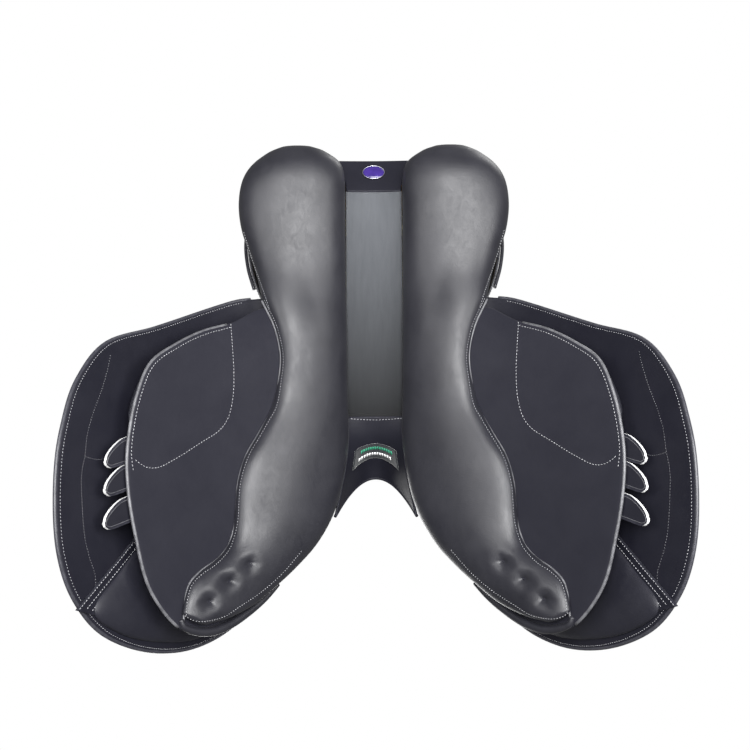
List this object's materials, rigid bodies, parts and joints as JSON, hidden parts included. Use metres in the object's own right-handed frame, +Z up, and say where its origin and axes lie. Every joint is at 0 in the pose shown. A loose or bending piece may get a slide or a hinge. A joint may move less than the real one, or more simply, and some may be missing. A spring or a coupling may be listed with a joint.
{
  "type": "english saddle",
  "caption": "Black leather English jumping saddle with stuffed panels, lifting flaps and skirts, girth straps and stirrup bars.",
  "frame": {"origin": "on the middle plane at the level where the panels bear, under the narrowest part of the seat", "axes": "+Z up, -Y to the pommel, +Y to the cantle, +X to the near (left) side"},
  "size_m": [0.6378, 0.5807, 0.3911],
  "materials": {
    "black_leather": "black bridle leather, soft sheen",
    "seat_leather": "black covered hide, soft sheen",
    "panel_leather": "soft black panel leather with grey highlights",
    "strap_leather": "black strap leather with pale cut edges",
    "channel_lining": "grey-black woven lining",
    "webbing": "natural linen webbing",
    "woven_label": "plain woven label",
    "seat_foam": "latex foam",
    "tree_wood": "varnished beech laminate",
    "bright_steel": "stainless steel",
    "badge": "domed blue-violet enamel badge"
  },
  "bodies": {
    "saddle": {"seat_cover": "seat_leather", "seat_foam": "seat_foam", "tree": "tree_wood", "seat_web_front": "webbing", "seat_web_middle": "webbing", "seat_web_rear": "webbing", "head_plate": "bright_steel", "cantle_welt": "black_leather", "channel_lining": "channel_lining", "rear_facing": "black_leather", "front_facing": "black_leather", "rear_badge": "badge", "front_label": "woven_label", "panel_left": "panel_leather", "panel_right": "panel_leather", "sweat_flap_left": "black_leather", "sweat_flap_right": "black_leather", "knee_block_left": "black_leather", "knee_block_right": "black_leather", "thigh_block_left": "black_leather", "thigh_block_right": "black_leather", "point_pocket_left": "black_leather", "point_pocket_right": "black_leather", "skirt_top_left": "black_leather", "skirt_top_right": "black_leather", "flap_root_left": "black_leather", "flap_root_right": "black_leather", "girth_web_rear_left": "webbing", "girth_web_rear_right": "webbing", "girth_web_front_left": "webbing", "girth_web_front_right": "webbing", "stirrup_bar_left": "bright_steel", "stirrup_bar_right": "bright_steel", "front_dee_tab_left": "black_leather", "front_dee_tab_right": "black_leather", "rear_dee_tab_left": "black_leather", "rear_dee_tab_right": "black_leather", "saddle_nail_left": "bright_steel", "saddle_nail_right": "bright_steel"},
    "flap_left": {"flap_left": "black_leather", "knee_pad_left": "black_leather", "leather_keeper_left": "black_leather"},
    "skirt_left": {"skirt_left": "black_leather"},
    "girth_strap_rear_left": {"girth_strap_rear_left": "strap_leather"},
    "girth_strap_middle_left": {"girth_strap_middle_left": "strap_leather"},
    "girth_strap_front_left": {"girth_strap_front_left": "strap_leather"},
    "bar_catch_left": {"bar_catch_left": "bright_steel"},
    "front_dee_left": {"front_dee_left": "bright_steel"},
    "rear_dee_left": {"rear_dee_left": "bright_steel"},
    "flap_right": {"flap_right": "black_leather", "knee_pad_right": "black_leather", "leather_keeper_right": "black_leather"},
    "skirt_right": {"skirt_right": "black_leather"},
    "girth_strap_rear_right": {"girth_strap_rear_right": "strap_leather"},
    "girth_strap_middle_right": {"girth_strap_middle_right": "strap_leather"},
    "girth_strap_front_right": {"girth_strap_front_right": "strap_leather"},
    "bar_catch_right": {"bar_catch_right": "bright_steel"},
    "front_dee_right": {"front_dee_right": "bright_steel"},
    "rear_dee_right": {"rear_dee_right": "bright_steel"}
  },
  "joints": [
    {"name": "flap_lift_left", "type": "hinge", "parent": "saddle", "child": "flap_left", "pos_m": [0.098, -0.15, 0.02], "axis": [-0.1551, -0.9878, 0.0163], "range_deg": [0, 60]},
    {"name": "skirt_lift_left", "type": "hinge", "parent": "flap_left", "child": "skirt_left", "pos_m": [0.098, -0.15, 0.02], "axis": [-0.1551, -0.9878, 0.0163], "range_deg": [0, 30]},
    {"name": "girth_strap_swing_rear_left", "type": "hinge", "parent": "saddle", "child": "girth_strap_rear_left", "pos_m": [0.12676, -0.03239, -0.03471], "axis": [-0.2412, -0.9651, 0.1025], "range_deg": [0, 2.2]},
    {"name": "girth_strap_swing_middle_left", "type": "hinge", "parent": "saddle", "child": "girth_strap_middle_left", "pos_m": [0.12688, -0.06089, -0.03695], "axis": [-0.2352, -0.9661, 0.1061], "range_deg": [0, 2.2]},
    {"name": "girth_strap_swing_front_left", "type": "hinge", "parent": "saddle", "child": "girth_strap_front_left", "pos_m": [0.127, -0.09438, -0.03958], "axis": [-0.2282, -0.9674, 0.1098], "range_deg": [0, 2.2]},
    {"name": "bar_catch_turn_left", "type": "hinge", "parent": "saddle", "child": "bar_catch_left", "pos_m": [0.088, -0.0365, 0.0255], "axis": [0, 0, 1], "range_deg": [0, 85]},
    {"name": "front_dee_swing_left", "type": "hinge", "parent": "saddle", "child": "front_dee_left", "pos_m": [0.066, -0.138, 0.0396], "axis": [-1, 0, 0], "range_deg": [-15, 110]},
    {"name": "rear_dee_swing_left", "type": "hinge", "parent": "saddle", "child": "rear_dee_left", "pos_m": [0.062, 0.2689, 0.094], "axis": [1, 0, 0], "range_deg": [-5, 95]},
    {"name": "flap_lift_right", "type": "hinge", "parent": "saddle", "child": "flap_right", "pos_m": [-0.098, -0.15, 0.02], "axis": [-0.1551, 0.9878, -0.0163], "range_deg": [0, 60]},
    {"name": "skirt_lift_right", "type": "hinge", "parent": "flap_right", "child": "skirt_right", "pos_m": [-0.098, -0.15, 0.02], "axis": [-0.1551, 0.9878, -0.0163], "range_deg": [0, 30]},
    {"name": "girth_strap_swing_rear_right", "type": "hinge", "parent": "saddle", "child": "girth_strap_rear_right", "pos_m": [-0.12676, -0.03239, -0.03471], "axis": [-0.2412, 0.9651, -0.1025], "range_deg": [0, 2.2]},
    {"name": "girth_strap_swing_middle_right", "type": "hinge", "parent": "saddle", "child": "girth_strap_middle_right", "pos_m": [-0.12688, -0.06089, -0.03695], "axis": [-0.2352, 0.9661, -0.1061], "range_deg": [0, 2.2]},
    {"name": "girth_strap_swing_front_right", "type": "hinge", "parent": "saddle", "child": "girth_strap_front_right", "pos_m": [-0.127, -0.09438, -0.03958], "axis": [-0.2282, 0.9674, -0.1098], "range_deg": [0, 2.2]},
    {"name": "bar_catch_turn_right", "type": "hinge", "parent": "saddle", "child": "bar_catch_right", "pos_m": [-0.088, -0.0365, 0.0255], "axis": [0, 0, -1], "range_deg": [0, 85]},
    {"name": "front_dee_swing_right", "type": "hinge", "parent": "saddle", "child": "front_dee_right", "pos_m": [-0.066, -0.138, 0.0396], "axis": [-1, 0, 0], "range_deg": [-15, 110]},
    {"name": "rear_dee_swing_right", "type": "hinge", "parent": "saddle", "child": "rear_dee_right", "pos_m": [-0.062, 0.2689, 0.094], "axis": [1, 0, 0], "range_deg": [-5, 95]}
  ]
}
